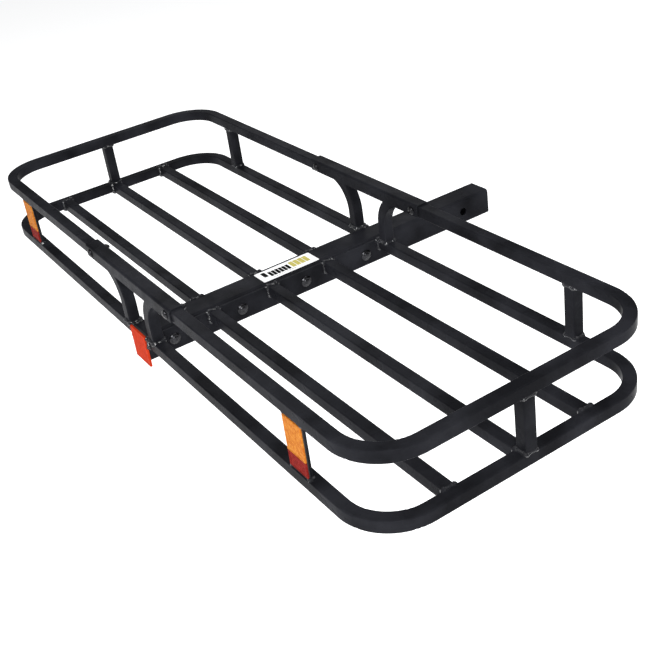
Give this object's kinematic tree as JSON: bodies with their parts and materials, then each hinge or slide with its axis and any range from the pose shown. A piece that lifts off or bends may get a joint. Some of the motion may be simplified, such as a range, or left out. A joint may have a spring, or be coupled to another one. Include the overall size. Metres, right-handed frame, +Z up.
{
  "type": "hitch cargo carrier",
  "caption": "Low tubular steel cargo basket on a square hitch tube, bolted together from two halves, with rails, slats and rear reflectors.",
  "frame": {"origin": "centre of the hitch pin hole, on the hitch tube's axis", "axes": "+X right along the basket, +Y forward along the hitch tube to the vehicle, +Z up"},
  "size_m": [1.346, 0.7547, 0.1664],
  "materials": {
    "frame_coat": "semi-gloss black powder coat",
    "bolt_steel": "black-plated steel",
    "cap_plastic": "matt black plastic",
    "amber_lens": "glossy amber reflex plastic",
    "red_lens": "glossy red reflex plastic",
    "label_film": "satin white adhesive film"
  },
  "bodies": {
    "root": {"hitch_tube": "frame_coat", "hitch_end_cap": "cap_plastic", "centre_reflector": "red_lens", "left_side_plate": "frame_coat", "left_base_frame": "frame_coat", "left_slat_near": "frame_coat", "left_slat_middle": "frame_coat", "left_slat_far": "frame_coat", "left_upper_rail": "frame_coat", "left_end_post": "frame_coat", "left_reflector_plate": "frame_coat", "left_far_post": "frame_coat", "left_reflector_backing": "cap_plastic", "left_reflector_red": "red_lens", "left_reflector_amber": "amber_lens", "right_side_plate": "frame_coat", "right_base_frame": "frame_coat", "right_slat_near": "frame_coat", "right_slat_middle": "frame_coat", "right_slat_far": "frame_coat", "right_upper_rail": "frame_coat", "right_end_post": "frame_coat", "right_reflector_plate": "frame_coat", "right_far_post": "frame_coat", "right_reflector_backing": "cap_plastic", "right_reflector_red": "red_lens", "right_reflector_amber": "amber_lens", "near_rail_bridge": "frame_coat", "far_rail_bridge": "frame_coat", "beam_bolts": "bolt_steel", "near_bridge_bolts": "bolt_steel", "far_bridge_bolts": "bolt_steel", "beam_washers": "bolt_steel", "near_bridge_washers": "bolt_steel", "far_bridge_washers": "bolt_steel", "beam_nuts": "bolt_steel", "near_bridge_nuts": "bolt_steel", "far_bridge_nuts": "bolt_steel", "label": "label_film"}
  },
  "joints": []
}
